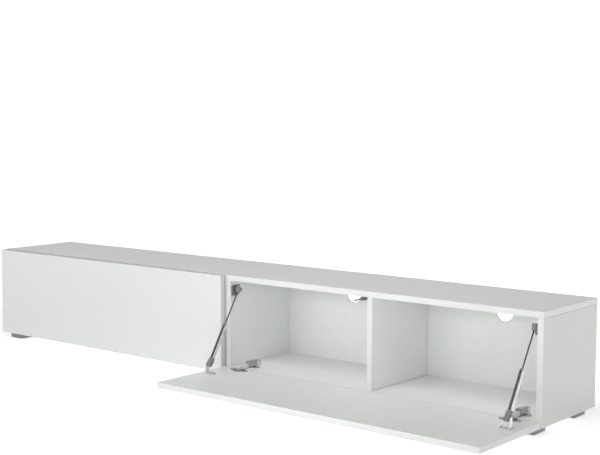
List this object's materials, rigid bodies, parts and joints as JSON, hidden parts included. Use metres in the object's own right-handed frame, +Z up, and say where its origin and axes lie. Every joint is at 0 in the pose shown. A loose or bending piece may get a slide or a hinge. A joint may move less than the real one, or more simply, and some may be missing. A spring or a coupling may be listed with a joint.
{
  "type": "media cabinet with drop-down flaps",
  "caption": "Long low white media cabinet of equal side-by-side units, with full-width drop-down flaps on concealed hinges and gas struts, push latches and small square feet",
  "frame": {"origin": "centre of the rest pose's footprint, on the floor, with the right flap open", "axes": "+X along the cabinet to its right end seen from the front, +Y from the front to the rear, +Z up"},
  "size_m": [2, 0.571, 0.3],
  "materials": {
    "white_board": "white melamine-faced board with white edge banding, satin",
    "white_back": "thin white fibreboard, matte",
    "foot_metal": "brushed",
    "nickel": "nickel plated",
    "bright_steel": "zinc plated sheet",
    "chrome": "polished",
    "dark_bracket": "dark grey, satin",
    "dark_plastic": "black, matte",
    "grey_plastic": "dark grey, matte"
  },
  "bodies": {
    "carcass": {"left_unit_top": "white_board", "left_unit_bottom": "white_board", "left_unit_end_left": "white_board", "left_unit_end_right": "white_board", "left_unit_divider": "white_board", "left_unit_back": "white_back", "left_unit_foot_front_left": "foot_metal", "left_unit_foot_front_right": "foot_metal", "left_unit_foot_rear_left": "foot_metal", "left_unit_foot_rear_right": "foot_metal", "left_unit_hinge_left_arm": "nickel", "left_unit_hinge_left_plate": "nickel", "left_unit_strut_left_bracket": "dark_bracket", "left_unit_hinge_right_arm": "nickel", "left_unit_hinge_right_plate": "nickel", "left_unit_strut_right_bracket": "dark_bracket", "left_unit_latch_body": "grey_plastic", "right_unit_top": "white_board", "right_unit_bottom": "white_board", "right_unit_end_left": "white_board", "right_unit_end_right": "white_board", "right_unit_divider": "white_board", "right_unit_back": "white_back", "right_unit_foot_front_left": "foot_metal", "right_unit_foot_front_right": "foot_metal", "right_unit_foot_rear_left": "foot_metal", "right_unit_foot_rear_right": "foot_metal", "right_unit_hinge_left_arm": "nickel", "right_unit_hinge_left_plate": "nickel", "right_unit_strut_left_bracket": "dark_bracket", "right_unit_hinge_right_arm": "nickel", "right_unit_hinge_right_plate": "nickel", "right_unit_strut_right_bracket": "dark_bracket", "right_unit_latch_body": "grey_plastic"},
    "left_unit_flap_body": {"left_unit_flap": "white_board", "left_unit_hinge_left_cup": "nickel", "left_unit_strut_left_flap_bracket": "bright_steel", "left_unit_hinge_right_cup": "nickel", "left_unit_strut_right_flap_bracket": "bright_steel"},
    "left_unit_left_rod_body": {"left_unit_strut_left_rod": "chrome"},
    "left_unit_left_tube_body": {"left_unit_strut_left_tube": "chrome", "left_unit_strut_left_socket": "dark_plastic"},
    "left_unit_right_rod_body": {"left_unit_strut_right_rod": "chrome"},
    "left_unit_right_tube_body": {"left_unit_strut_right_tube": "chrome", "left_unit_strut_right_socket": "dark_plastic"},
    "left_unit_plunger_body": {"left_unit_latch_plunger": "dark_plastic"},
    "right_unit_flap_body": {"right_unit_flap": "white_board", "right_unit_hinge_left_cup": "nickel", "right_unit_strut_left_flap_bracket": "bright_steel", "right_unit_hinge_right_cup": "nickel", "right_unit_strut_right_flap_bracket": "bright_steel"},
    "right_unit_left_rod_body": {"right_unit_strut_left_rod": "chrome"},
    "right_unit_left_tube_body": {"right_unit_strut_left_tube": "chrome", "right_unit_strut_left_socket": "dark_plastic"},
    "right_unit_right_rod_body": {"right_unit_strut_right_rod": "chrome"},
    "right_unit_right_tube_body": {"right_unit_strut_right_tube": "chrome", "right_unit_strut_right_socket": "dark_plastic"},
    "right_unit_plunger_body": {"right_unit_latch_plunger": "dark_plastic"}
  },
  "joints": [
    {"name": "left_unit_flap_hinge", "type": "hinge", "parent": "carcass", "child": "left_unit_flap_body", "pos_m": [-0.50015, -0.0145, 0.028], "axis": [1, 0, 0], "range_deg": [0, 90]},
    {"name": "left_unit_left_strut_swing", "type": "hinge", "parent": "carcass", "child": "left_unit_left_rod_body", "pos_m": [-0.968, 0.0155, 0.258], "axis": [1, 0, 0], "range_deg": [-32.92, 0]},
    {"name": "left_unit_left_strut_slide", "type": "slide", "parent": "left_unit_left_rod_body", "child": "left_unit_left_tube_body", "axis": [0, 0.0147, -0.9999], "range_m": [0, 0.09763]},
    {"name": "left_unit_right_strut_swing", "type": "hinge", "parent": "carcass", "child": "left_unit_right_rod_body", "pos_m": [-0.0323, 0.0155, 0.258], "axis": [1, 0, 0], "range_deg": [-32.92, 0]},
    {"name": "left_unit_right_strut_slide", "type": "slide", "parent": "left_unit_right_rod_body", "child": "left_unit_right_tube_body", "axis": [0, 0.0147, -0.9999], "range_m": [0, 0.09763]},
    {"name": "left_unit_latch_slide", "type": "slide", "parent": "carcass", "child": "left_unit_plunger_body", "axis": [0, 1, 0], "range_m": [-0.02932, 0]},
    {"name": "right_unit_flap_hinge", "type": "hinge", "parent": "carcass", "child": "right_unit_flap_body", "pos_m": [0.50015, -0.0145, 0.028], "axis": [1, 0, 0], "range_deg": [-90, 0]},
    {"name": "right_unit_left_strut_swing", "type": "hinge", "parent": "carcass", "child": "right_unit_left_rod_body", "pos_m": [0.0323, 0.0155, 0.258], "axis": [1, 0, 0], "range_deg": [0, 32.92]},
    {"name": "right_unit_left_strut_slide", "type": "slide", "parent": "right_unit_left_rod_body", "child": "right_unit_left_tube_body", "axis": [0, -0.5308, -0.8475], "range_m": [-0.09763, 0]},
    {"name": "right_unit_right_strut_swing", "type": "hinge", "parent": "carcass", "child": "right_unit_right_rod_body", "pos_m": [0.968, 0.0155, 0.258], "axis": [1, 0, 0], "range_deg": [0, 32.92]},
    {"name": "right_unit_right_strut_slide", "type": "slide", "parent": "right_unit_right_rod_body", "child": "right_unit_right_tube_body", "axis": [0, -0.5308, -0.8475], "range_m": [-0.09763, 0]},
    {"name": "right_unit_latch_slide", "type": "slide", "parent": "carcass", "child": "right_unit_plunger_body", "axis": [0, 1, 0], "range_m": [0, 0.02932]}
  ],
  "couplings": [
    {"joint": "left_unit_left_strut_swing", "follows": "left_unit_flap_hinge", "ratio": -0.36556},
    {"joint": "left_unit_left_strut_slide", "follows": "left_unit_flap_hinge", "m_per_rad": 0.062142},
    {"joint": "left_unit_right_strut_swing", "follows": "left_unit_flap_hinge", "ratio": -0.36556},
    {"joint": "left_unit_right_strut_slide", "follows": "left_unit_flap_hinge", "m_per_rad": 0.062142},
    {"joint": "left_unit_latch_slide", "follows": "left_unit_flap_hinge", "m_per_rad": -0.018653},
    {"joint": "right_unit_left_strut_swing", "follows": "right_unit_flap_hinge", "ratio": -0.36556},
    {"joint": "right_unit_left_strut_slide", "follows": "right_unit_flap_hinge", "m_per_rad": 0.062142},
    {"joint": "right_unit_right_strut_swing", "follows": "right_unit_flap_hinge", "ratio": -0.36556},
    {"joint": "right_unit_right_strut_slide", "follows": "right_unit_flap_hinge", "m_per_rad": 0.062142},
    {"joint": "right_unit_latch_slide", "follows": "right_unit_flap_hinge", "m_per_rad": -0.018653}
  ]
}
